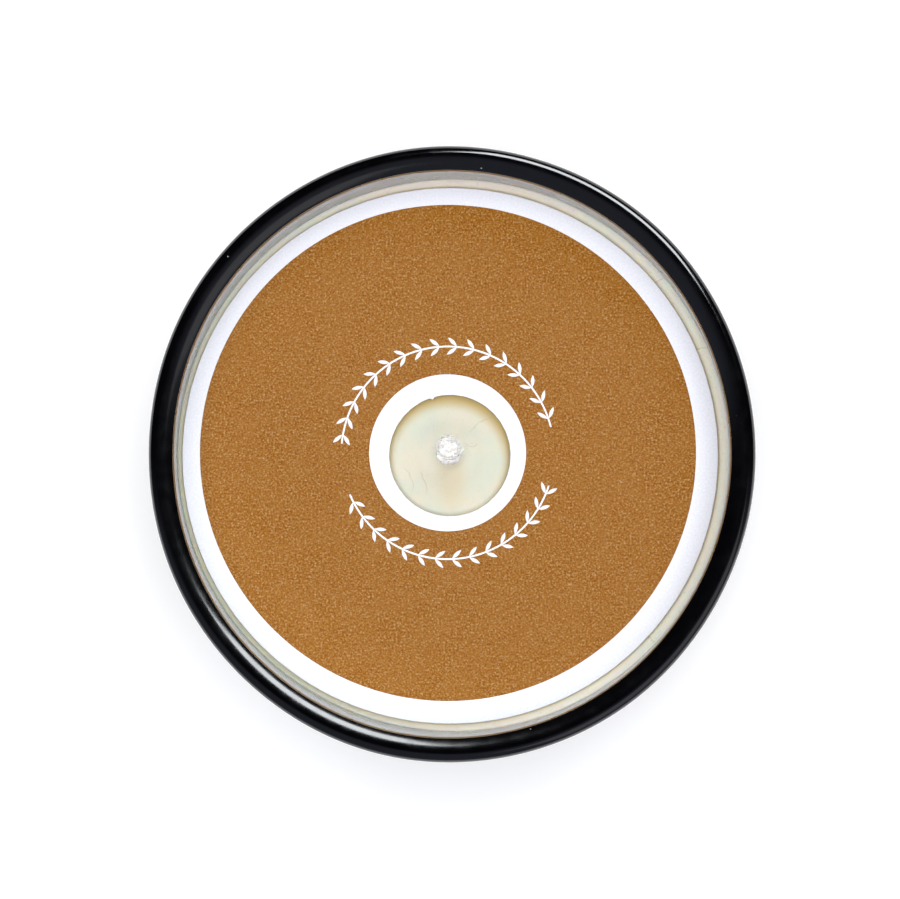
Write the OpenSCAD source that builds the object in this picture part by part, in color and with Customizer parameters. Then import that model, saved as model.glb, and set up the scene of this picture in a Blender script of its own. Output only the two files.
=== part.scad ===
// Container candle in a round drawn tin, with the lid off: a seamless can with a curled rim,
// the poured wax, a braided wick on its sustainer, and a loose card dust cover with a wick hole.
// Millimetres. +Z is up, and the origin is at the centre of the foot.

/* [Tin] */
// Outside diameter of the body
body_d = 79.5; // [79.1:0.1:81.5]
// Height from the foot to the top of the rim
body_h = 50; // [48:1:70]
// Thickness of the plate
plate_t = 0.3; // [0.25:0.05:0.35]
// Outside diameter of the curled rim, which the lid slips over
rim_d = 79; // [78:0.1:79]
// Radius of the slope inside the rim, from its crest towards the neck
slope_r = 2.75; // [2.75:0.05:2.85]
// Radius of the turn from that slope into the neck
throat_r = 0.6; // [0.5:0.05:0.6]
// Radius of the curl from the crest down to the outside of the rim
curl_r = 1.15; // [0.9:0.05:1.3]
// Radius of the turn that takes the plate's edge back under the rim
under_r = 1.2; // [1:0.1:1.3]
// Height of the straight band round the outside of the rim, which the lid grips
rim_land_h = 1.2; // [0.8:0.1:1.6]
// Depth of the lid's seat, from the top of the rim to the shoulder
lid_seat_h = 14.5; // [13.5:0.5:16]
// Radius of the corner between the wall and the foot
foot_corner_r = 2.6; // [2:0.1:3.5]
// Width of the flat ring that the tin stands on
foot_ring_w = 2.3; // [1.5:0.1:3]
// Height of the base panel above the foot
panel_rise = 1.3; // [1:0.1:1.8]

/* [Wax] */
// Depth of the wax's flat top below the top of the rim
wax_depth = 12.1; // [10:0.1:12.9]
// Height that the wax climbs at the wall
meniscus_h = 1.0; // [0.8:0.1:1.2]
// Radius of the curve that climbs to the wall
meniscus_r = 6.5; // [6:0.5:8]

/* [Wick] */
// Diameter of the braid
wick_d = 2.96; // [2.6:0.02:3.2]
// Diameter of the core inside the braid
core_d = 0.9; // [0.6:0.1:1.2]
// Length of wick above the wax
wick_out = 6.1; // [4:0.1:8]
// Lean of the wick at its tip, in degrees
wick_lean = 15; // [5:1:24]
// Where the wick stands, to the right of the tin's axis
wick_x = -0.45; // [-1.5:0.05:1.5]
// Where the wick stands, behind the tin's axis
wick_y = 0.1; // [-1.5:0.05:1.5]
// Diameter of the sustainer's disc
tab_d = 20; // [16:1:24]
// Height of the sustainer's neck
tab_neck_h = 6; // [4:0.5:8]
// Thickness of the foam sticker under the sustainer
sticker_t = 1.0; // [0.8:0.1:1.5]

/* [Dust cover] */
// Diameter of the card disc
cover_d = 70.3; // [69:0.1:70.4]
// Diameter of the wick hole
cover_hole_d = 15.9; // [14:0.1:20]
// Thickness of the card
cover_t = 0.6; // [0.4:0.1:0.8]
// Outside diameter of the face label
label_d = 65.1; // [60:0.1:67]
// Inside diameter of the face label
label_hole_d = 20.6; // [20.6:0.1:24]

/* [Hidden] */
$fn = 96;

eps = 0.02;      // gap left around a piece that is cast or crimped in
far = 200;       // longer than anything here

// Tin
body_r = body_d / 2;
rim_r = rim_d / 2;
crest_r = rim_r - curl_r;                  // radius of the rim's highest circle
slope_sweep = 45;                          // how far the slope turns before the throat, in degrees
slope_z = body_h - slope_r;
throat_axis_r = crest_r - (slope_r - throat_r) * sin(slope_sweep);
throat_z = slope_z + (slope_r - throat_r) * cos(slope_sweep);
neck_in_r = throat_axis_r - throat_r;
neck_r = neck_in_r + plate_t;
land_low_z = body_h - curl_r - rim_land_h;
under_sweep = 135;                         // how far the plate's edge turns under, in degrees
shoulder_r = (body_r - neck_r) / 2;        // both curves of the shoulder
shoulder_axis_r = neck_r + shoulder_r;
shoulder_z = body_h - lid_seat_h;          // middle of the shoulder's S-curve

// Foot and base panel
foot_out_r = body_r - foot_corner_r;
foot_in_r = foot_out_r - foot_ring_w;
panel_curve_r = panel_rise / 2;            // both curves between the foot and the panel
panel_r = foot_in_r - panel_rise;
floor_z = panel_rise + plate_t;

// Wax
wax_z = body_h - wax_depth;
meniscus_start_r =
    neck_in_r - sqrt(pow(meniscus_r, 2) - pow(meniscus_r - meniscus_h, 2));

// Wick
tab_t = 0.25;
tab_z = floor_z + sticker_t;
tab_neck_r = wick_d / 2 + eps + tab_t;
tab_fillet_r = 0.8;
tab_rib_r = 0.35;
tab_rib_at = 6.5;
crimp_r = 0.6;
crimp_depth = 0.12;
sticker_d = tab_d - 1;
wick_z = tab_z + 0.1;
wick_bend_r = wick_out / (wick_lean * PI / 180);

// Dust cover: it lies on the wax that climbs the wall, a little off the tin's axis
cover_at = [-0.43, -0.07];
cover_gap = 0.06;                          // left between the card's edge and the wax
cover_reach = cover_d / 2 + norm(cover_at);
cover_rest_z =
    wax_z + meniscus_r - sqrt(pow(meniscus_r, 2) - pow(cover_reach - meniscus_start_r, 2));
cover_z = cover_rest_z + cover_gap;
label_shift = [-0.29, 0.36];               // the label's centre from the card's centre
label_t = 0.08;

// Base label
base_label_d = 52;
base_label_t = 0.12;

// Fills the corner between two straight sides, outside an arc of radius r centred at the origin.
// quadrant is [1, -1] for the lower right, and so on.
module corner_fill(r, quadrant) {
    difference() {
        translate([quadrant[0] > 0 ? 0 : -r, quadrant[1] > 0 ? 0 : -r]) square(r);
        circle(r);
    }
}

// Half section of all that lies within the can's surface, once it is taken in by inset:
// 0 gives the outside of the plate, and plate_t gives its inside.
module vessel_section(inset) {
    side_r = body_r - inset;
    neck_side_r = neck_r - inset;
    corner_r = foot_corner_r - inset;
    convex_r = shoulder_r - inset;
    concave_r = shoulder_r + inset;
    low_curve_r = panel_curve_r - inset;
    high_curve_r = panel_curve_r + inset;
    difference() {
        translate([0, inset]) square([side_r, throat_z - inset]);
        // Outside the corner of the foot
        translate([foot_out_r, foot_corner_r]) corner_fill(corner_r, [1, -1]);
        // Outside the shoulder and the neck
        translate([shoulder_axis_r, shoulder_z - shoulder_r]) corner_fill(convex_r, [1, 1]);
        translate([shoulder_axis_r, shoulder_z - inset]) square([far, far]);
        translate([shoulder_axis_r, shoulder_z + shoulder_r]) circle(concave_r);
        translate([neck_side_r, shoulder_z + shoulder_r]) square([far, far]);
        // Under the base panel
        square([panel_r, panel_rise + inset]);
        square([foot_in_r - panel_curve_r + inset, panel_curve_r]);
        translate([panel_r, panel_curve_r]) circle(high_curve_r);
        translate([foot_in_r, panel_curve_r]) corner_fill(low_curve_r, [-1, -1]);
    }
}

// Section of plate bent round an arc of outer radius r, from one angle to a greater one
module plate_bend(r, from_angle, to_angle) {
    sweep = to_angle - from_angle;
    corner_angles = [for (i = [0:3]) from_angle + sweep * i / 3];
    intersection() {
        difference() {
            circle(r);
            circle(r - plate_t);
        }
        polygon(concat([[0, 0]], [for (angle = corner_angles) far * [cos(angle), sin(angle)]]));
    }
}

// Half section of the rim: out of the throat, over the crest, down the land and back in under it
module rim_section() {
    translate([throat_axis_r, throat_z]) plate_bend(throat_r, 90 + slope_sweep, 180);
    translate([crest_r, slope_z]) plate_bend(slope_r, 90, 90 + slope_sweep);
    translate([crest_r, body_h - curl_r]) plate_bend(curl_r, 0, 90);
    translate([rim_r - plate_t, land_low_z]) square([plate_t, rim_land_h]);
    translate([rim_r - under_r, land_low_z]) plate_bend(under_r, -under_sweep, 0);
}

module tin_body() {
    color([0.05, 0.05, 0.06]) rotate_extrude() {
        difference() {
            vessel_section(0);
            vessel_section(plate_t);
        }
        rim_section();
    }
}

// A rod along the wick's path: upright through the wax, then bending back by end_lean degrees
module wick_rod(r, low_z, end_lean) {
    translate([wick_x, wick_y, 0]) {
        translate([0, 0, low_z]) cylinder(r = r, h = wax_z - low_z);
        translate([0, wick_bend_r, wax_z]) rotate([90, 0, -90])
            rotate_extrude(angle = end_lean) translate([wick_bend_r, 0]) circle(r);
    }
}

module wick_braid() {
    color([0.96, 0.94, 0.9]) difference() {
        wick_rod(wick_d / 2, wick_z, wick_lean);
        wick_rod(core_d / 2 + eps, -1, wick_lean + 1);
    }
}

module wick_core() {
    color([0.85, 0.8, 0.7]) wick_rod(core_d / 2, wick_z, wick_lean - 0.5);
}

// Disc, rib, fillet and neck of the sustainer, with no crimp marks
module sustainer_blank() {
    bore_r = wick_d / 2 + eps;
    translate([wick_x, wick_y, tab_z]) rotate_extrude() {
        translate([bore_r, 0]) square([tab_d / 2 - bore_r, tab_t]);
        translate([bore_r, 0]) square([tab_t, tab_neck_h]);
        translate([tab_neck_r + tab_fillet_r, tab_t + tab_fillet_r])
            corner_fill(tab_fillet_r, [-1, -1]);
        translate([tab_rib_at, tab_t]) intersection() {
            circle(tab_rib_r);
            translate([-tab_rib_r, -tab_t / 2]) square([2 * tab_rib_r, 2 * tab_rib_r]);
        }
    }
}

module wick_sustainer() {
    color("silver") difference() {
        sustainer_blank();
        for (turn = [0:90:270])
            translate([wick_x, wick_y, tab_z + tab_neck_h * 0.6]) rotate(turn)
                translate([tab_neck_r + crimp_r - crimp_depth, 0, 0]) sphere(r = crimp_r);
    }
}

module wick_sticker() {
    color("white") translate([wick_x, wick_y, floor_z]) cylinder(d = sticker_d, h = sticker_t);
}

// The wax fills the can round the wick, the sustainer and its sticker
module wax_fill() {
    color([0.91, 0.9, 0.8]) difference() {
        rotate_extrude() difference() {
            intersection() {
                vessel_section(plate_t);
                square([far, wax_z + meniscus_h]);
            }
            translate([0, wax_z]) square([meniscus_start_r, far]);
            translate([meniscus_start_r, wax_z + meniscus_r]) circle(meniscus_r);
        }
        wick_rod(wick_d / 2 + eps, floor_z - 1, wick_lean);
        sustainer_blank();
        translate([wick_x, wick_y, floor_z - 1]) cylinder(d = sticker_d, h = sticker_t + 1);
    }
}

module dust_cover() {
    color("white") translate([cover_at[0], cover_at[1], cover_z]) difference() {
        cylinder(d = cover_d, h = cover_t);
        translate([0, 0, -1]) cylinder(d = cover_hole_d, h = cover_t + 2);
    }
}

module cover_label() {
    label_at = cover_at + label_shift;
    color([0.69, 0.46, 0.2]) translate([label_at[0], label_at[1], cover_z + cover_t])
        difference() {
            cylinder(d = label_d, h = label_t);
            translate([0, 0, -1]) cylinder(d = label_hole_d, h = label_t + 2);
        }
}

module base_label() {
    color("white") translate([0, 0, panel_rise - base_label_t])
        cylinder(d = base_label_d, h = base_label_t);
}

tin_body();
wax_fill();
wick_braid();
wick_core();
wick_sustainer();
wick_sticker();
dust_cover();
cover_label();
base_label();
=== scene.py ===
import math
from random import Random

import bpy
from mathutils import Matrix, Vector, noise


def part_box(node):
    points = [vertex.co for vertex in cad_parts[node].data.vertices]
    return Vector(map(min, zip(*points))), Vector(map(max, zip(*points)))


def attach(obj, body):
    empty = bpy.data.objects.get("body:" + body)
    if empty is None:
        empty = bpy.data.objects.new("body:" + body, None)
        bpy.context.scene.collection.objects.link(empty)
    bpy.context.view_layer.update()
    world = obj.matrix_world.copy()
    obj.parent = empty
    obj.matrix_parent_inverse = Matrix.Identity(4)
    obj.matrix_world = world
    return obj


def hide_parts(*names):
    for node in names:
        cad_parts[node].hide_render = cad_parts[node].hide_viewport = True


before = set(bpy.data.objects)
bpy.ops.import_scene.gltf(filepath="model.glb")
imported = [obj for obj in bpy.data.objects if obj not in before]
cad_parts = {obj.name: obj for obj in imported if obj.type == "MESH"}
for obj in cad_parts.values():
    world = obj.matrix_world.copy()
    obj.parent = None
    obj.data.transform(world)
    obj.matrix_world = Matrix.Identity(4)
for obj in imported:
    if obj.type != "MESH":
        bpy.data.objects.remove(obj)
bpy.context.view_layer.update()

MM = 0.001


def corners_mm(node):
    """The lowest and highest corner of a CAD node, in millimetres."""
    low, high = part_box(node)
    return Vector(low) / MM, Vector(high) / MM


# Sizes and places read from the CAD parts in model.glb
TIN_LOW, TIN_HIGH = corners_mm("tin_body")
WAX_HIGH = corners_mm("wax_fill")[1]
WICK_LOW, WICK_HIGH = corners_mm("wick_braid")
CARD_LOW, CARD_HIGH = corners_mm("dust_cover")
FACE_LOW, FACE_HIGH = corners_mm("cover_label")
PAPER_LOW, PAPER_HIGH = corners_mm("base_label")

RIM_TOP = TIN_HIGH.z
BODY_R = (TIN_HIGH.x - TIN_LOW.x) / 2
WICK_R = (WICK_HIGH.x - WICK_LOW.x) / 2
WICK_X = (WICK_HIGH.x + WICK_LOW.x) / 2
WICK_Y = WICK_LOW.y + WICK_R
CARD_R = (CARD_HIGH.x - CARD_LOW.x) / 2
CARD_CENTRE = (CARD_LOW + CARD_HIGH) / 2
FACE_R = (FACE_HIGH.x - FACE_LOW.x) / 2
FACE_CENTRE = (FACE_LOW + FACE_HIGH) / 2
PAPER_R = (PAPER_HIGH.x - PAPER_LOW.x) / 2

# Sizes of the can that its box doesn't give
PLATE = 0.3
RIM_R = 39.5
SLOPE_R = 2.75
SLOPE_SWEEP = math.radians(45)
THROAT_R = 0.6
CURL_R = 1.15
UNDER_R = 1.2
UNDER_SWEEP = 135      # how far the plate's edge turns under the rim, in degrees
LAND_H = 1.2
CREST_R = RIM_R - CURL_R
SLOPE_Z = RIM_TOP - SLOPE_R
THROAT_AXIS_R = CREST_R - (SLOPE_R - THROAT_R) * math.sin(SLOPE_SWEEP)
THROAT_Z = SLOPE_Z + (SLOPE_R - THROAT_R) * math.cos(SLOPE_SWEEP)
NECK_R = THROAT_AXIS_R - THROAT_R + PLATE
WALL_IN_R = NECK_R - PLATE
LID_SEAT_H = 14.5
SHOULDER_Z = RIM_TOP - LID_SEAT_H
SHOULDER_R = (BODY_R - NECK_R) / 2
FOOT_CORNER_R = 2.6
FOOT_OUT_R = BODY_R - FOOT_CORNER_R
FOOT_RING_W = 2.3
FOOT_IN_R = FOOT_OUT_R - FOOT_RING_W
PANEL_RISE = 1.3
PANEL_R = FOOT_IN_R - PANEL_RISE

# Sizes of the soft and loose pieces
MENISCUS_H = 1.0
MENISCUS_R = 6.5
WAX_TOP = WAX_HIGH.z - MENISCUS_H
WICK_OUT = 6.1
WICK_LEAN = math.radians(15)
CARD_HOLE_R = 7.95
FACE_HOLE_R = 10.3

ROUND = 360      # steps round the tin


# ---------------------------------------------------------------- mesh building

class Pieces:
    """Gathers vertices and faces, in millimetres, and makes one object of them."""

    def __init__(self):
        self.vertices = []
        self.faces = []

    def add(self, vertices, faces):
        first = len(self.vertices)
        self.vertices.extend(vertices)
        self.faces.extend([tuple(first + i for i in face) for face in faces])

    def make(self, name, body, materials, material_of=None, replaces=()):
        mesh = bpy.data.meshes.new(name)
        mesh.from_pydata([Vector(v) * MM for v in self.vertices], [], self.faces)
        mesh.validate()
        for material in materials:
            mesh.materials.append(material)
        if material_of:
            for face in mesh.polygons:
                face.material_index = material_of(face.index)
        mesh.shade_smooth()
        piece = bpy.data.objects.new(name, mesh)
        bpy.context.scene.collection.objects.link(piece)
        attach(piece, body)
        if replaces:
            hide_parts(*replaces)
        return piece


def arc(centre, radius, start, end, steps):
    """Points and left-hand normals along an arc in the half section. Angles are in degrees."""
    side = -1 if end > start else 1
    path = []
    for i in range(steps + 1):
        angle = math.radians(start + (end - start) * i / steps)
        out = Vector((math.cos(angle), math.sin(angle)))
        path.append((Vector(centre) + radius * out, side * out))
    return path


def straight(start, end, steps):
    """Points and left-hand normals along a line in the half section."""
    start = Vector(start)
    end = Vector(end)
    along = (end - start).normalized()
    left = Vector((-along.y, along.x))
    return [(start.lerp(end, i / steps), left) for i in range(steps + 1)]


def sheet_outline(path, thickness):
    """The closed outline of a sheet whose middle follows the path: its right side, then its left."""
    left = [point + normal * thickness / 2 for point, normal in path]
    right = [point - normal * thickness / 2 for point, normal in path]
    return right + left[::-1]


def skin(rings):
    """Faces between rings of vertex numbers, all as long. A ring may repeat one vertex."""
    faces = []
    for low, high in zip(rings, rings[1:]):
        for j in range(len(low) - 1):
            corners = dict.fromkeys((low[j], low[j + 1], high[j + 1], high[j]))
            if len(corners) > 2:
                faces.append(tuple(corners))
    return faces


def lathe(outline, centre=(0, 0), shape=None):
    """Vertices and faces of a closed outline of (radius, height) turned about +Z.

    The outline goes up its outer side, and a radius of 0 gives one vertex on the axis.
    shape(radius, angle, height) may return a changed (radius, height).
    """
    vertices = []
    rings = []
    for radius, height in outline:
        first = len(vertices)
        count = ROUND if radius > 0 else 1
        for j in range(count):
            angle = math.tau * j / ROUND
            r, z = shape(radius, angle, height) if shape else (radius, height)
            vertices.append((centre[0] + r * math.cos(angle), centre[1] + r * math.sin(angle), z))
        rings.append([first + j % count for j in range(ROUND + 1)])
    return vertices, skin(rings + rings[:1])


def tube(points, radii, sides=8):
    """Vertices and faces of a round rod through the points, closed at both ends."""
    vertices = []
    faces = []
    across = Vector((1, 0.3, 0.2))
    for i, point in enumerate(points):
        ahead = points[min(i + 1, len(points) - 1)]
        behind = points[max(i - 1, 0)]
        along = (ahead - behind).normalized()
        across = (across - along * across.dot(along)).normalized()
        up = along.cross(across)
        for j in range(sides):
            angle = math.tau * j / sides
            out = across * math.cos(angle) + up * math.sin(angle)
            vertices.append(point + out * radii[i])
    for i in range(len(points) - 1):
        for j in range(sides):
            k = (j + 1) % sides
            faces.append((i * sides + j, i * sides + k, (i + 1) * sides + k, (i + 1) * sides + j))
    last = (len(points) - 1) * sides
    faces.append(tuple(range(sides))[::-1])
    faces.append(tuple(last + j for j in range(sides)))
    return vertices, faces


def ribbon(points, width, low, high):
    """Vertices and faces of a thin raised line through flat points, closed on all sides."""
    last = len(points) - 1
    vertices = []
    for i, point in enumerate(points):
        along = (points[min(i + 1, last)] - points[max(i - 1, 0)]).normalized()
        left = Vector((-along.y, along.x)) * width / 2
        for edge in (point + left, point - left):
            vertices.append((edge.x, edge.y, low))
            vertices.append((edge.x, edge.y, high))
    faces = [(0, 1, 3, 2), (4 * last, 4 * last + 2, 4 * last + 3, 4 * last + 1)]
    for a in range(0, 4 * last, 4):
        b = a + 4
        faces.append((a + 1, a + 3, b + 3, b + 1))
        faces.append((a, b, b + 2, a + 2))
        faces.append((a, a + 1, b + 1, b))
        faces.append((a + 2, b + 2, b + 3, a + 3))
    return vertices, faces


def smooth_step(low, high, value):
    """0 up to low, 1 from high, and a smooth rise between them."""
    t = min(max((value - low) / (high - low), 0), 1)
    return t * t * (3 - 2 * t)


# ---------------------------------------------------------------- materials

class Surface:
    """One node material. Constant values are set on the shader's own sockets."""

    def __init__(self, name, **constants):
        self.material = bpy.data.materials.new(name)
        self.material.use_nodes = True
        self.tree = self.material.node_tree
        self.shader = self.tree.nodes["Principled BSDF"]
        for socket, value in constants.items():
            self.shader.inputs[socket.replace("_", " ")].default_value = value
        self.place = self.node("ShaderNodeTexCoord").outputs["Object"]

    def node(self, kind, **settings):
        """A new node, with its settings."""
        made = self.tree.nodes.new(kind)
        for setting, value in settings.items():
            setattr(made, setting, value)
        return made

    def put(self, socket, value):
        """Feeds a socket from another socket or sets it to a value."""
        if isinstance(value, bpy.types.NodeSocket):
            self.tree.links.new(value, socket)
        else:
            socket.default_value = value

    def feed(self, name, value):
        """Feeds one of the shader's own sockets."""
        self.put(self.shader.inputs[name], value)

    def noise(self, size, detail=2.0, stretch=(1, 1, 1), distortion=0.0):
        """Soft noise whose lumps are about size millimetres across."""
        mapping = self.node("ShaderNodeMapping")
        mapping.inputs["Scale"].default_value = stretch
        self.put(mapping.inputs["Vector"], self.place)
        made = self.node("ShaderNodeTexNoise")
        made.inputs["Scale"].default_value = 1 / (size * MM)
        made.inputs["Detail"].default_value = detail
        made.inputs["Distortion"].default_value = distortion
        self.put(made.inputs["Vector"], mapping.outputs[0])
        return made.outputs["Fac"]

    def cells(self, size):
        """The distance to the nearest of scattered points, about size millimetres apart."""
        made = self.node("ShaderNodeTexVoronoi")
        made.inputs["Scale"].default_value = 1 / (size * MM)
        self.put(made.inputs["Vector"], self.place)
        return made.outputs["Distance"]

    def ramp(self, value, *stops):
        """A colour or grey for each value, with stops of (value, colour)."""
        made = self.node("ShaderNodeValToRGB")
        points = made.color_ramp.elements
        while len(points) < len(stops):
            points.new(0.5)
        for point, (position, colour) in zip(points, stops):
            point.position = position
            point.color = (*colour, 1) if isinstance(colour, tuple) else (colour, colour, colour, 1)
        self.put(made.inputs["Fac"], value)
        return made.outputs["Color"]

    def span(self, value, low, high, to_low=0.0, to_high=1.0):
        """The value moved from one range to another, smoothly and within its ends."""
        made = self.node("ShaderNodeMapRange", interpolation_type="SMOOTHSTEP")
        self.put(made.inputs["Value"], value)
        made.inputs["From Min"].default_value = low
        made.inputs["From Max"].default_value = high
        made.inputs["To Min"].default_value = to_low
        made.inputs["To Max"].default_value = to_high
        return made.outputs["Result"]

    def mix(self, share, first, second):
        """The first colour, with that share of the second."""
        made = self.node("ShaderNodeMix", data_type="RGBA")
        self.put(made.inputs["Factor"], share)
        for socket, colour in ((made.inputs["A"], first), (made.inputs["B"], second)):
            self.put(socket, (*colour, 1) if isinstance(colour, tuple) else colour)
        return made.outputs["Result"]

    def calc(self, operation, first, second=0.0):
        """The result of one sum. Each value may be a socket or a number."""
        made = self.node("ShaderNodeMath", operation=operation)
        self.put(made.inputs[0], first)
        self.put(made.inputs[1], second)
        return made.outputs[0]

    def axis(self, name):
        """The place along X, Y or Z, in metres."""
        made = self.node("ShaderNodeSeparateXYZ")
        self.put(made.inputs[0], self.place)
        return made.outputs[name]

    def distance_from(self, x, y, y_scale=1.0):
        """The distance from an upright line, in metres, with Y counted at that scale."""
        flat = self.node("ShaderNodeVectorMath", operation="MULTIPLY_ADD")
        self.put(flat.inputs[0], self.place)
        flat.inputs[1].default_value = (1, y_scale, 0)
        flat.inputs[2].default_value = (-x * MM, -y * y_scale * MM, 0)
        length = self.node("ShaderNodeVectorMath", operation="LENGTH")
        self.put(length.inputs[0], flat.outputs[0])
        return length.outputs["Value"]

    def relief(self, *layers):
        """Bumps, as (height source, depth in millimetres), one over the other."""
        normal = None
        for height, depth in layers:
            bump = self.node("ShaderNodeBump")
            bump.inputs["Distance"].default_value = depth * MM
            self.put(bump.inputs["Height"], height)
            if normal:
                self.put(bump.inputs["Normal"], normal)
            normal = bump.outputs[0]
        self.feed("Normal", normal)


def black_paint():
    """Gloss black with a little dust, and slightly duller on the slope inside the rim."""
    paint = Surface("black_paint", IOR=1.6)
    dust = paint.calc(
        "MULTIPLY",
        paint.span(paint.cells(2.6), 0.02, 0.045, 1, 0),
        paint.span(paint.noise(5, 1), 0.5, 0.56),
    )
    cloud = paint.ramp(paint.noise(6), (0.3, (0.0003, 0.0003, 0.0005)), (0.7, (0.0009, 0.0009, 0.0013)))
    paint.feed("Base Color", paint.mix(dust, cloud, (0.32, 0.38, 0.36)))
    worn = paint.span(paint.noise(1.6, 5), 0.35, 0.7, 0.10, 0.16)
    satin = paint.span(paint.distance_from(0, 0), (CREST_R - 0.6) * MM, CREST_R * MM, 0.06, 0)
    rough = paint.calc("ADD", worn, paint.calc("MULTIPLY", dust, 0.5))
    paint.feed("Roughness", paint.calc("ADD", rough, satin))
    paint.relief((paint.noise(1.4, 2), 0.004), (paint.noise(0.25, 2), 0.001))
    return paint.material


def bare_plate():
    """Bare metal with fine drawn rings, tinted where the paint ends below the rim's slope."""
    plate = Surface("bare_plate", Metallic=1.0)
    rings = plate.noise(0.6, 3, stretch=(0.02, 0.02, 1))
    grey = plate.ramp(rings, (0.3, (0.38, 0.41, 0.41)), (0.7, (0.56, 0.59, 0.59)))
    edge = plate.span(plate.axis("Z"), (THROAT_Z - 0.9) * MM, (THROAT_Z + 0.1) * MM)
    plate.feed("Base Color", plate.mix(edge, grey, (0.46, 0.42, 0.30)))
    plate.feed("Roughness", plate.span(plate.noise(2.5, 4), 0.3, 0.7, 0.26, 0.36))
    plate.relief((rings, 0.0008))
    return plate.material


def hairline(surface, wander, middle, lean, radius, reach):
    """A mask for a fine curved line through a point. lean is the way to its centre, in degrees."""
    lean = math.radians(lean)
    centre = Vector(middle) + radius * Vector((math.cos(lean), math.sin(lean)))
    away = surface.calc("ADD", surface.distance_from(*centre), wander)
    off = surface.calc("ABSOLUTE", surface.calc("SUBTRACT", away, radius * MM))
    line = surface.span(off, 0.02 * MM, 0.09 * MM, 1, 0)
    near = surface.span(surface.distance_from(*middle), 0.5 * reach * MM, reach * MM, 1, 0)
    return surface.calc("MULTIPLY", line, near)


def wax_cracks(wax):
    """The hairlines in the wax: in the cover's hole, and across the ring by the wall."""
    wander = wax.span(wax.noise(1.4, 3), 0.2, 0.8, -0.25 * MM, 0.25 * MM)
    lines = [
        hairline(wax, wander, (3.5, 4.2), -52, 7.7, 2.3),
        hairline(wax, wander, (2.4, 1.1), 90, 1.1, 1.1),
        hairline(wax, wander, (-3.7, -3.5), 200, 3.2, 1.9),
        hairline(wax, wander, (-5.5, -3.1), 205, 3.0, 2.1),
    ]
    for degrees in (23, 40, 167, 246, 317):
        turn = math.radians(degrees)
        on_ring = ((WALL_IN_R - 0.9) * math.cos(turn), (WALL_IN_R - 0.9) * math.sin(turn))
        lines.append(hairline(wax, wander, on_ring, degrees + 75, 2.2, 1.1))
    cracks = lines[0]
    for line in lines[1:]:
        cracks = wax.calc("MAXIMUM", cracks, line)
    return cracks


def wax_by_wall(wax, clouds):
    """The ring of wax by the wall: warmer in front and behind, and darker at the left as painted shade."""
    pale = wax.mix(clouds, (0.88, 0.83, 0.69), (0.92, 0.82, 0.68))
    blush = wax.span(wax.calc("ABSOLUTE", wax.axis("Y")), 30 * MM, 36 * MM, 0, 0.6)
    warm = wax.mix(blush, pale, (0.97, 0.75, 0.64))
    # Painted shade: the ring darkens towards a point on its left.
    from_left = wax.distance_from(-0.88 * WALL_IN_R, -0.47 * WALL_IN_R)
    left_shade = wax.span(from_left, 10 * MM, 58 * MM, 0.98, 0)
    return wax.mix(left_shade, warm, (0.46, 0.455, 0.35))


def wax_in_hole(wax, clouds):
    """The wax inside the card's hole, with painted light close round the wick that lifts the shade round its
    foot.
    """
    cream = wax.mix(clouds, (0.575, 0.595, 0.500), (0.635, 0.600, 0.490))
    # Painted light: the wax is paler within 4.5 mm of the wick, against the wick's shade.
    pale = wax.span(wax.distance_from(WICK_X, WICK_Y), WICK_R * MM, 4.5 * MM, 0.6, 0)
    return wax.mix(pale, cream, (0.80, 0.78, 0.66))


def hole_edge_shadow(wax, radius):
    """A mask for a painted shadow of the card's hole edge on the wax: a ring set a little towards -Y, so that
    it is strongest inside the hole's +Y side, and that runs on under the card, fading out between 8.5 and 14
    mm from the middle.
    """
    centre = CARD_CENTRE - Vector((0.23, 0.87, 0))
    away = wax.distance_from(centre.x, centre.y)
    outward = wax.span(away, (CARD_HOLE_R - 1.35) * MM, (CARD_HOLE_R + 0.55) * MM)
    inward = wax.span(radius, 8.5 * MM, 14 * MM, 0.95, 0)
    return wax.calc("MULTIPLY", outward, inward)


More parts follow.
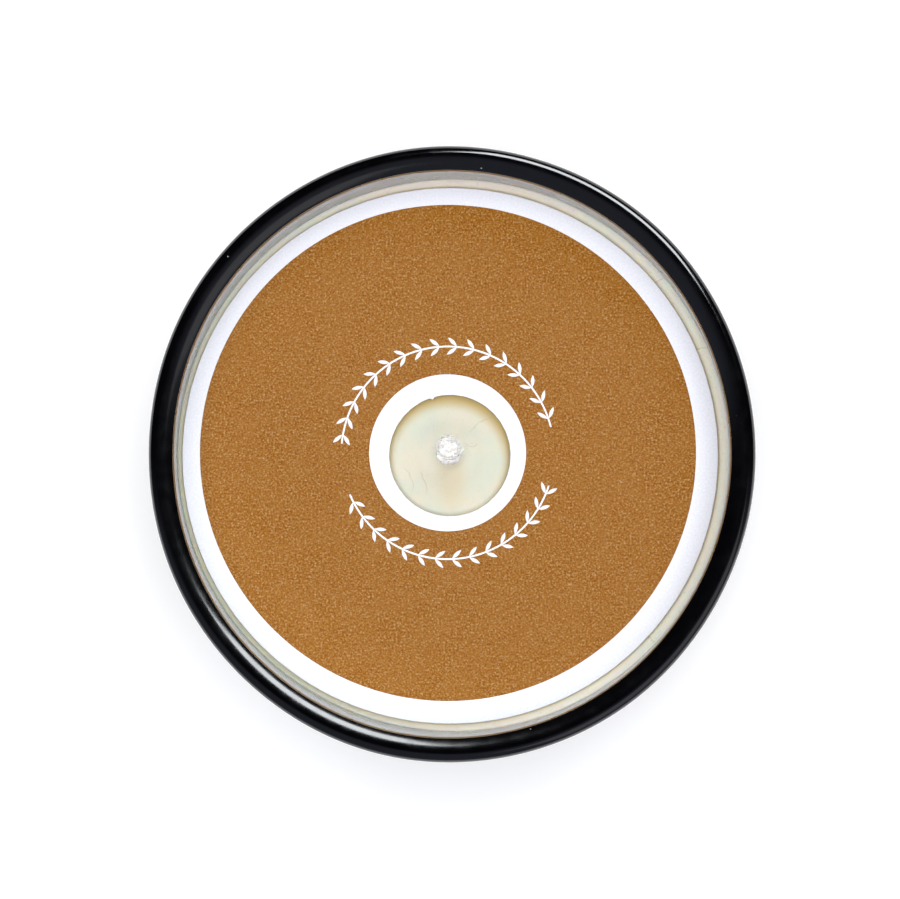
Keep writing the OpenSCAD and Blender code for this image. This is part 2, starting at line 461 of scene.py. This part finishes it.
def wax_surface():
    """Cream wax: tan under the card and just past its edge as painted shade, with a painted shadow inside the
    edge of the card's hole and a painted shadow of the wick, flecked and cracked.
    """
    wax = Surface(
        "soy_wax",
        IOR=1.44,
        Subsurface_Weight=0.5,
        Subsurface_Radius=(1.0, 0.60, 0.26),
        Subsurface_Scale=0.0022,
    )
    radius = wax.distance_from(0, 0)
    clouds = wax.span(wax.noise(5, 4), 0.35, 0.65)
    # Painted shade: a tan tone under the card that reaches 0.9 mm past the card's edge, where it darkens the
    # wax beside the card.
    card_shade_tan = wax.mix(clouds, (0.66, 0.55, 0.37), (0.72, 0.58, 0.39))
    under_card = wax.span(radius, 9 * MM, 13 * MM)
    past_card = wax.span(
        wax.distance_from(CARD_CENTRE.x, CARD_CENTRE.y),
        (CARD_R - 0.5) * MM,
        (CARD_R + 0.9) * MM,
    )
    cream = wax.mix(under_card, wax_in_hole(wax, clouds), card_shade_tan)
    cream = wax.mix(past_card, cream, wax_by_wall(wax, clouds))
    # Painted shadow: the edge of the card's hole darkens the wax inside the hole's +Y side with a
    # yellow-brown tint.
    hole_shaded = wax.mix(hole_edge_shadow(wax, radius), cream, (0.47, 0.345, 0.135))
    # Painted shadow of the wick: a warm tan fan on the wax on its -Y side, laid over the shadow that the key
    # lamp casts.
    before_wick = wax.distance_from(WICK_X + 0.2, WICK_Y - 3.0, 0.50)
    wick_shaded = wax.mix(wax.span(before_wick, 0.6 * MM, 3.0 * MM, 0.42, 0), hole_shaded, (0.60, 0.45, 0.25))
    flecks = wax.span(wax.noise(0.35, 3), 0.58, 0.70, 0, 0.20)
    flecked = wax.mix(flecks, wick_shaded, (0.46, 0.46, 0.34))
    cracks = wax_cracks(wax)
    wax.feed("Base Color", wax.mix(wax.calc("MULTIPLY", cracks, 0.38), flecked, (0.46, 0.33, 0.15)))
    wax.feed("Roughness", wax.span(wax.noise(1.5, 4), 0.3, 0.7, 0.36, 0.52))
    wax.relief(
        (wax.noise(2.2, 4), 0.03),
        (wax.noise(0.3, 3), 0.012),
        (wax.calc("SUBTRACT", 1.0, cracks), 0.02),
    )
    return wax.material


def cotton(name, colour):
    """Matt yarn with fine threads along it."""
    yarn = Surface(
        name,
        Sheen_Weight=0.6,
        Sheen_Roughness=0.4,
        Subsurface_Weight=0.15,
        Subsurface_Scale=0.0005,
    )
    darker = tuple(0.93 * c for c in colour)
    threads = yarn.noise(0.12, 4, stretch=(1, 1, 0.4))
    yarn.feed("Base Color", yarn.mix(yarn.span(threads, 0.35, 0.65), darker, colour))
    yarn.feed("Roughness", yarn.span(yarn.noise(0.3), 0.3, 0.7, 0.75, 0.95))
    yarn.relief((threads, 0.02))
    return yarn.material


def specks(surface, size, share):
    """Sparse dots, as a mask: about one in each cell of that size, and fewer for a smaller share."""
    dots = surface.span(surface.cells(size), 0.016, 0.028, 1, 0)
    return surface.calc("MULTIPLY", dots, surface.span(surface.noise(size * 3, 0), 1 - share, 1.02 - share))


def white_card():
    """Smooth white card with a few dark specks."""
    card = Surface("white_card")
    fibres = card.noise(0.28, 5)
    white = card.ramp(fibres, (0.35, (0.745, 0.755, 0.82)), (0.65, (0.815, 0.82, 0.87)))
    card.feed("Base Color", card.mix(specks(card, 7, 0.45), white, (0.10, 0.09, 0.10)))
    card.feed("Roughness", card.span(card.noise(0.6, 4), 0.3, 0.7, 0.50, 0.66))
    card.relief((fibres, 0.012), (card.noise(6, 2), 0.03))
    return card.material


def kraft_paper():
    """Brown paper with a fine grain, and with pale and dark fibres that lie both ways."""
    kraft = Surface("kraft_paper", Specular_IOR_Level=0.25)
    grain = kraft.noise(0.26, 6)
    brown = kraft.ramp(
        grain,
        (0.30, (0.155, 0.034, 0.001)),
        (0.44, (0.243, 0.084, 0.006)),
        (0.56, (0.297, 0.128, 0.018)),
        (0.70, (0.440, 0.285, 0.125)),
    )
    clouds = kraft.span(kraft.noise(3.5, 3), 0.35, 0.65, 0, 0.25)
    clouded = kraft.mix(clouds, brown, (0.300, 0.132, 0.026))
    pale_fibres = kraft.span(kraft.noise(0.23, 4, stretch=(0.5, 1.3, 1), distortion=1.2), 0.60, 0.70, 0, 0.75)
    dark_fibres = kraft.span(kraft.noise(0.24, 4, stretch=(1.2, 0.5, 1), distortion=1.0), 0.62, 0.70, 0, 0.7)
    flecked = kraft.mix(pale_fibres, clouded, (0.440, 0.280, 0.145))
    kraft.feed("Base Color", kraft.mix(dark_fibres, flecked, (0.150, 0.040, 0.002)))
    kraft.feed("Roughness", kraft.span(grain, 0.3, 0.7, 0.66, 0.86))
    kraft.relief((grain, 0.02))
    return kraft.material


def white_ink():
    """White print that lets a little of the brown paper through."""
    ink = Surface("white_ink", Specular_IOR_Level=0.3)
    wear = ink.span(ink.noise(0.25, 4), 0.60, 0.78)
    ink.feed("Base Color", ink.mix(ink.calc("MULTIPLY", wear, 0.4), (0.90, 0.90, 0.92), (0.70, 0.48, 0.30)))
    ink.feed("Roughness", ink.span(ink.noise(0.4), 0.3, 0.7, 0.45, 0.60))
    return ink.material


def label_paper():
    """White paper with one thin dark line near its edge."""
    paper = Surface("label_paper")
    radius = paper.distance_from(0, 0)
    fibres = paper.noise(0.3, 5)
    white = paper.ramp(fibres, (0.35, (0.80, 0.80, 0.78)), (0.65, (0.88, 0.88, 0.86)))
    outer = paper.span(radius, (PAPER_R - 2.0) * MM, (PAPER_R - 1.9) * MM)
    inner = paper.span(radius, (PAPER_R - 1.5) * MM, (PAPER_R - 1.4) * MM, 1, 0)
    paper.feed("Base Color", paper.mix(paper.calc("MULTIPLY", outer, inner), white, (0.10, 0.10, 0.11)))
    paper.feed("Roughness", paper.span(fibres, 0.3, 0.7, 0.5, 0.7))
    paper.relief((fibres, 0.01))
    return paper.material


def zinc_plate():
    """Plated steel with pale and dark crystals."""
    zinc = Surface("zinc_plate", Metallic=1.0)
    spangle = zinc.cells(1.8)
    zinc.feed("Base Color", zinc.ramp(spangle, (0.1, (0.60, 0.62, 0.65)), (0.8, (0.76, 0.77, 0.79))))
    zinc.feed("Roughness", zinc.span(zinc.noise(0.8, 4), 0.3, 0.7, 0.25, 0.45))
    zinc.relief((zinc.noise(0.4, 3), 0.01))
    return zinc.material


def foam():
    """White foam with open bubbles."""
    pad = Surface("foam_pad")
    bubbles = pad.cells(0.35)
    pad.feed("Base Color", pad.ramp(bubbles, (0.1, (0.70, 0.70, 0.68)), (0.7, (0.88, 0.88, 0.86))))
    pad.feed("Roughness", pad.span(pad.noise(0.5), 0.3, 0.7, 0.80, 0.95))
    pad.relief((bubbles, 0.05))
    return pad.material


def pale_floor():
    """A white studio floor with a slight glow."""
    floor = Surface("pale_floor", Emission_Color=(1, 1, 1, 1), Emission_Strength=0.18)
    grain = floor.noise(30, 4)
    floor.feed("Base Color", floor.ramp(grain, (0.3, (0.91, 0.91, 0.91)), (0.7, (0.93, 0.93, 0.93))))
    floor.feed("Roughness", floor.span(grain, 0.3, 0.7, 0.7, 0.8))
    return floor.material


# ---------------------------------------------------------------- the can

def without_repeats(path):
    """Leaves out each point that repeats the one before it, where two stretches meet."""
    kept = [path[0]]
    for point, normal in path[1:]:
        if (point - kept[-1][0]).length > 1e-4:
            kept.append((point, normal))
    return kept


def wall_path():
    """The middle of the plate, from the centre of the base panel up to the rim's slope."""
    half = PLATE / 2
    curve = PANEL_RISE / 2
    shoulder_low = SHOULDER_Z - SHOULDER_R
    shoulder_high = SHOULDER_Z + SHOULDER_R
    shoulder_axis = NECK_R + SHOULDER_R
    path = straight((0, PANEL_RISE + half), (PANEL_R, PANEL_RISE + half), 4)
    path += arc((PANEL_R, curve), curve + half, 90, 0, 6)
    path += arc((FOOT_IN_R, curve), curve - half, 180, 270, 6)
    path += straight((FOOT_IN_R, half), (FOOT_OUT_R, half), 2)
    path += arc((FOOT_OUT_R, FOOT_CORNER_R), FOOT_CORNER_R - half, 270, 360, 10)
    path += straight((BODY_R - half, FOOT_CORNER_R), (BODY_R - half, shoulder_low), 8)
    path += arc((shoulder_axis, shoulder_low), SHOULDER_R - half, 0, 90, 10)
    path += arc((shoulder_axis, shoulder_high), SHOULDER_R + half, 270, 180, 10)
    path += straight((NECK_R - half, shoulder_high), (NECK_R - half, THROAT_Z), 14)
    path += arc((THROAT_AXIS_R, THROAT_Z), THROAT_R - half, 180, 135, 8)
    return without_repeats(path)


def rim_path():
    """The middle of the plate, from the rim's slope over the crest to the edge turned under it."""
    half = PLATE / 2
    land_low = RIM_TOP - CURL_R - LAND_H
    path = arc((CREST_R, SLOPE_Z), SLOPE_R - half, 135, 90, 16)
    path += arc((CREST_R, RIM_TOP - CURL_R), CURL_R - half, 90, 0, 16)
    path += straight((RIM_R - half, RIM_TOP - CURL_R), (RIM_R - half, land_low), 4)
    path += arc((RIM_R - UNDER_R, land_low), UNDER_R - half, 0, -UNDER_SWEEP, 12)
    return without_repeats(path)


def out_of_round(radius, angle, height):
    """The thin rim is slightly oval and wavy. It is true again where the wax holds it."""
    share = smooth_step(WAX_HIGH.z, THROAT_Z, height)
    oval = -0.30 * math.cos(2 * angle)
    waves = 0.05 * math.sin(3 * angle + 1.0) + 0.03 * math.sin(7 * angle + 2.0)
    return radius + share * (oval + waves), height


def make_can():
    """Black paint all over, but for the bare inside below the rim."""
    wall = wall_path()
    outline = sheet_outline(wall + rim_path()[1:], PLATE)
    first_bare = len(outline) - len(wall)      # the outline ends with the inside of the wall
    can = Pieces()
    can.add(*lathe(outline, shape=out_of_round))
    can.make("tin_can", "tin", [black_paint(), bare_plate()],
             lambda face: int(face // ROUND >= first_bare), ["tin_body"])


# ---------------------------------------------------------------- the wax

def wax_height(x, y):
    """Height of the wax's surface: flat, climbing to the wall and the wick, and gently uneven."""
    radius = math.hypot(x, y)
    start = WALL_IN_R - math.sqrt(MENISCUS_R ** 2 - (MENISCUS_R - MENISCUS_H) ** 2)
    climb = 0.0
    if radius > start:
        climb = MENISCUS_R - math.sqrt(MENISCUS_R ** 2 - (radius - start) ** 2)
    to_wick = max(math.hypot(x - WICK_X, y - WICK_Y) - WICK_R, 0)
    at_wick = 0.45 * math.exp(-to_wick / 0.45)
    uneven = 0.035 * noise.noise(Vector((x, y, 3.1)) / 5.5) + 0.012 * noise.noise(Vector((x, y, 8.4)) / 1.3)
    return WAX_TOP + climb + at_wick + uneven


def make_wax():
    """The wax: plain where it meets the tin, and finely stepped over its surface."""
    gap = 0.01
    rings = 150
    surface = [(WALL_IN_R - gap) * (1 - i / rings) for i in range(rings + 1)]
    wall = BODY_R - PLATE - gap
    panel_top = PANEL_RISE + PLATE + gap
    under = [
        (0, panel_top),
        (PANEL_R, panel_top),
        (FOOT_IN_R, PLATE + 0.4),
        (FOOT_OUT_R, PLATE + 0.1),
        (wall, FOOT_CORNER_R),
        (wall, SHOULDER_Z - SHOULDER_R - 0.2),
        (WALL_IN_R - gap, SHOULDER_Z + SHOULDER_R - 0.4),
    ]

    def shape(radius, angle, height):
        if height > 0:
            return radius, height
        return radius, wax_height(radius * math.cos(angle), radius * math.sin(angle))

    outline = under + [(radius, 0) for radius in surface]
    wax = Pieces()
    wax.add(*lathe(outline, shape=shape))
    wax.make("poured_wax", "tin", [wax_surface()], replaces=["wax_fill"])


# ---------------------------------------------------------------- the wick

def wick_frame(along):
    """The middle of the wick, and its direction, at a length measured from the wax's surface."""
    if along <= 0:
        return Vector((WICK_X, WICK_Y, WAX_TOP + along)), Vector((0, 0, 1))
    bend_r = WICK_OUT / WICK_LEAN
    lean = along / bend_r
    middle = Vector((WICK_X, WICK_Y + bend_r * (1 - math.cos(lean)), WAX_TOP + bend_r * math.sin(lean)))
    return middle, Vector((0, math.sin(lean), math.cos(lean)))


def on_wick(along, turn, out):
    """A point at a distance out from the wick's middle, at a turn round it."""
    middle, direction = wick_frame(along)
    across = Vector((1, 0, 0))
    back = direction.cross(across)
    return middle + out * (across * math.cos(turn) + back * math.sin(turn))


def make_braid():
    """Eight strands, four each way round, that cross over and under each other."""
    strands = 8
    strand_r = 0.46
    pitch = 7.0
    low = WICK_LOW.z - WAX_TOP
    high = WICK_OUT - 0.25
    steps = 260
    braid = Pieces()
    for strand in range(strands):
        way = 1 if strand % 2 else -1
        points = []
        for i in range(steps + 1):
            along = low + (high - low) * i / steps
            turn = way * math.tau * along / pitch + math.tau * (strand // 2) / (strands / 2)
            over = 0.20 * way * math.cos(2 * math.tau * 2 * along / pitch)
            points.append(on_wick(along, turn, WICK_R - strand_r - 0.22 + over))
        radii = [strand_r] * steps + [strand_r * 0.75]
        braid.add(*tube(points, radii, 10))
    braid.make("braided_wick", "tin", [cotton("cotton_braid", (0.93, 0.90, 0.87))],
               replaces=["wick_braid"])


def combed(turn):
    """How far a fibre at that turn round the wick is combed to the front, from 0 to 1."""
    return max(-math.sin(turn), 0) ** 2


def lumps(way):
    """A size near 1 for each direction out of the puff: three sizes of lump, one on another."""
    return 1 + 0.30 * noise.noise(1.7 * way) + 0.18 * noise.noise(6 * way) + 0.10 * noise.noise(13 * way)


def frayed_cap():
    """Vertices and faces of the lumpy puff that the frayed strands make at the tip."""
    rows = 36
    sides = 64
    vertices = []
    rings = []
    for i in range(rows + 1):
        polar = math.pi * (1 - i / rows)
        first = len(vertices)
        count = sides if 0 < i < rows else 1
        for j in range(count):
            turn = math.tau * j / sides
            flat = math.sin(polar)
            way = Vector((flat * math.cos(turn), flat * math.sin(turn), math.cos(polar)))
            lump = lumps(way)
            reach = 0.38 if way.z > 0 else 1.3
            front = 0.50 * combed(turn)
            along = WICK_OUT - 0.20 + reach * way.z * lump - 0.4 * front
            vertices.append(on_wick(along, turn, (1.47 + front) * flat ** 0.7 * lump))
        rings.append([first + j % count for j in range(sides + 1)])
    return vertices, skin(rings)


def tuft(rng):
    """Vertices and faces of one short, tapered tuft that covers the strands' cut ends."""
    turn = rng.uniform(0, math.tau)
    out = WICK_R * math.sqrt(rng.random())
    spread = rng.uniform(0.0, 0.35)
    rise = rng.uniform(0.05, 0.75)
    curl = rng.uniform(-0.9, 0.9)
    start = rng.uniform(-0.6, -0.1)
    thick = rng.uniform(0.05, 0.15)
    out += 0.6 * combed(turn) * out / WICK_R
    points = []
    radii = []
    for i in range(7):
        t = i / 6
        along = WICK_OUT + start + (rise - start) * t
        points.append(on_wick(along, turn + curl * t, out + spread * t * t))
        radii.append(thick * (1 - 0.7 * t ** 3))
    return tube(points, radii, 6)


def loose_fibre(rng):
    """Vertices and faces of one thin fibre that stands off the braid's side."""
    turn = rng.uniform(0, math.tau)
    low = WICK_OUT - 5.5 * rng.random() ** 2.2
    length = rng.uniform(0.35, 1.1)
    sweep = rng.uniform(-1.2, 1.2)
    lift = rng.uniform(-0.2, 0.9)
    points = []
    for i in range(6):
        t = i / 5
        along = min(low + lift * length * t, WICK_OUT + 0.5)
        out = WICK_R - 0.25 + length * 0.55 * t * (1.3 - 0.6 * t)
        points.append(on_wick(along, turn + sweep * t * 0.6, out))
    return tube(points, [0.018] * 6, 3)


def make_wick_fibres():
    """The cut and frayed tip: a puff, tufts that bunch over it, and loose fibres."""
    rng = Random(11)
    fibres = Pieces()
    fibres.add(*frayed_cap())
    for _ in range(130):
        fibres.add(*tuft(rng))
    for _ in range(420):
        fibres.add(*loose_fibre(rng))
    fibres.make("wick_tip_fibres", "tin", [cotton("cotton_fibre", (0.84, 0.81, 0.785))])


# ---------------------------------------------------------------- the dust cover

def card_edge(radius, angle, height):
    """The punched edges are slightly furry, and the hole has one small nick."""
    if radius > CARD_R - 0.3:
        return radius + 0.02 * math.sin(41 * angle) * math.sin(97 * angle + 1), height
    if radius < CARD_HOLE_R + 0.3:
        away = (math.degrees(angle) - 107) / 1.6
        nick = 0.26 * math.exp(-away * away)
        fur = 0.018 * math.sin(37 * angle + 1) * math.sin(71 * angle)
        return radius + fur - nick, height
    return radius, height


def disc_outline(hole_r, outer_r, low, high, edge):
    """A flat ring with small rounded edges."""
    quarter = 4
    outline = []
    corners = (
        (outer_r - edge, low + edge, -90),
        (outer_r - edge, high - edge, 0),
        (hole_r + edge, high - edge, 90),
        (hole_r + edge, low + edge, 180),
    )
    for r, z, start in corners:
        for i in range(quarter + 1):
            angle = math.radians(start + 90 * i / quarter)
            outline.append((r + edge * math.cos(angle), z + edge * math.sin(angle)))
    return outline


def make_card():
    card = Pieces()
    outline = disc_outline(CARD_HOLE_R, CARD_R, CARD_LOW.z, CARD_HIGH.z, 0.09)
    card.add(*lathe(outline, centre=CARD_CENTRE.xy, shape=card_edge))
    card.make("cover_card", "cover", [white_card()], replaces=["dust_cover"])


def make_face():
    face = Pieces()
    outline = disc_outline(FACE_HOLE_R, FACE_R, FACE_LOW.z, FACE_HIGH.z, 0.03)
    face.add(*lathe(outline, centre=FACE_CENTRE.xy))
    face.make("kraft_face", "cover", [kraft_paper()], replaces=["cover_label"])


def leaf(root, direction, low, high):
    """Vertices and faces of a small flat leaf, pointed at both ends."""
    length = 1.6
    width = 0.50
    steps = 10
    across = Vector((-direction.y, direction.x))
    right = [(i / steps, -math.sin(math.pi * i / steps) ** 0.9) for i in range(steps)]
    left = [(1 - t, -side) for t, side in right]
    edge = [root + direction * length * t + across * width / 2 * side for t, side in right + left]
    count = len(edge)
    vertices = [(point.x, point.y, z) for z in (low, high) for point in edge]
    faces = [tuple(range(count))[::-1], tuple(range(count, 2 * count))]
    for i in range(count):
        k = (i + 1) % count
        faces.append((i, k, count + k, count + i))
    return vertices, faces


def make_garland():
    """Two sprays of leaves in white, round the hole."""
    middle = FACE_CENTRE.xy
    band_r = 13.95
    line_w = 0.24
    low = FACE_HIGH.z - 0.005
    high = FACE_HIGH.z + 0.015
    garland = Pieces()

    def on_band(degrees, out=0.0):
        angle = math.radians(degrees)
        return middle + (band_r + out) * Vector((math.cos(angle), math.sin(angle)))

    for start, end, pairs in ((14, 175, 17), (203, 342, 15)):
        steps = 60
        stem = [on_band(start + (end - start) * i / steps) for i in range(steps + 1)]
        garland.add(*ribbon(stem, line_w, low, high))
        for i in range(pairs):
            degrees = start + (end - start) * (i + 0.5) / pairs
            for side in (-1, 1):
                way = math.radians(degrees + 90 - side * 40)
                direction = Vector((math.cos(way), math.sin(way)))
                garland.add(*leaf(on_band(degrees, side * 0.10), direction, low, high - 0.004))
    garland.make("face_garland", "cover", [white_ink()])


def make_base_paper():
    paper = Pieces()
    outline = disc_outline(0.01, PAPER_R, PAPER_LOW.z, PAPER_HIGH.z, 0.004)
    paper.add(*lathe(outline))
    paper.make("base_paper", "tin", [label_paper()], replaces=["base_label"])


def finish_hidden_nodes():
    """The pieces inside the wax keep their CAD shape."""
    finishes = {
        "wick_core": cotton("core_yarn", (0.86, 0.80, 0.68)),
        "wick_sustainer": zinc_plate(),
        "wick_sticker": foam(),
    }
    for node, material in finishes.items():
        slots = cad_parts[node].data.materials
        slots.clear()
        slots.append(material)


# ---------------------------------------------------------------- the studio

def make_floor():
    half = 900
    corners = [(-half, -half, 0), (half, -half, 0), (half, half, 0), (-half, half, 0)]
    mesh = bpy.data.meshes.new("floor")
    mesh.from_pydata([Vector(corner) * MM for corner in corners], [], [(0, 1, 2, 3)])
    mesh.materials.append(pale_floor())
    floor = bpy.data.objects.new("floor", mesh)
    bpy.context.scene.collection.objects.link(floor)


def aimed(eye, aim, up):
    """The placing of a camera or lamp at eye that looks at aim."""
    back = (Vector(eye) - Vector(aim)).normalized()
    right = Vector(up).cross(back).normalized()
    turn = Matrix((right, back.cross(right), back)).transposed().to_4x4()
    return Matrix.Translation(Vector(eye) * MM) @ turn


def add_softbox(name, azimuth, elevation, distance, width, height, watts, colour, lights, shines):
    """A flat lamp aimed at the rim. lights and shines say whether matt and glossy surfaces see it."""
    lamp = bpy.data.lights.new(name, "AREA")
    lamp.shape = "RECTANGLE"
    lamp.size = width * MM
    lamp.size_y = height * MM
    lamp.energy = watts
    lamp.color = colour
    box = bpy.data.objects.new(name, lamp)
    flat = math.cos(math.radians(elevation))
    toward = Vector((
        flat * math.cos(math.radians(azimuth)),
        flat * math.sin(math.radians(azimuth)),
        math.sin(math.radians(elevation)),
    ))
    aim = Vector((0, 0, RIM_TOP))
    up = (0, 0, 1) if elevation < 80 else (0, 1, 0)
    box.matrix_world = aimed(aim + toward * distance, aim, up)
    box.visible_camera = False
    box.visible_diffuse = lights
    box.visible_glossy = shines
    bpy.context.scene.collection.objects.link(box)


def add_lamps():
    """A wide ceiling and a key light the matt surfaces. Two boxes give the highlights on the rim."""
    white = (1.0, 1.0, 1.0)
    key_side = 63          # degrees from +X
    fill_side = -45
    add_softbox("ceiling", 0, 90, 900, 900, 900, 13.0, white, True, False)
    add_softbox("key", key_side, 40, 560, 440, 440, 0.6, (1.0, 0.99, 0.97), True, False)
    add_softbox("key_shine", key_side, 42, 530, 360, 260, 4.2, (0.93, 0.97, 1.0), False, True)
    add_softbox("fill_shine", fill_side, 40, 550, 480, 420, 0.34, white, False, True)


def add_room():
    """A dim room, with a paler wall on the viewer's side."""
    world = bpy.data.worlds.new("room")
    world.use_nodes = True
    tree = world.node_tree
    direction = tree.nodes.new("ShaderNodeTexCoord").outputs["Generated"]
    split = tree.nodes.new("ShaderNodeSeparateXYZ")
    tree.links.new(direction, split.inputs[0])
    wall = tree.nodes.new("ShaderNodeMapRange")
    wall.interpolation_type = "SMOOTHSTEP"
    wall.inputs["From Min"].default_value = 0.05
    wall.inputs["From Max"].default_value = -0.30
    wall.inputs["To Min"].default_value = 0.015
    wall.inputs["To Max"].default_value = 0.29
    tree.links.new(split.outputs["Y"], wall.inputs["Value"])
    background = tree.nodes["Background"]
    background.inputs["Color"].default_value = (0.75, 0.79, 1.0, 1)
    tree.links.new(wall.outputs["Result"], background.inputs["Strength"])
    bpy.context.scene.world = world


def add_camera():
    """Almost straight above the rim, a little to the right and in front of its centre."""
    distance = 600
    width_seen = 115.92      # millimetres across the picture, at the height of the rim
    lens = bpy.data.cameras.new("camera")
    lens.sensor_width = 36
    lens.lens = lens.sensor_width * distance / width_seen
    camera = bpy.data.objects.new("camera", lens)
    eye = (16.1, -9.5, RIM_TOP + distance)
    camera.matrix_world = aimed(eye, (-0.11, 0.54, RIM_TOP), (0, 1, 0))
    bpy.context.scene.collection.objects.link(camera)
    bpy.context.scene.camera = camera


make_can()
make_wax()
make_braid()
make_wick_fibres()
make_card()
make_face()
make_garland()
make_base_paper()
finish_hidden_nodes()
make_floor()
add_room()
add_lamps()
add_camera()
bpy.context.scene.view_settings.view_transform = "Standard"
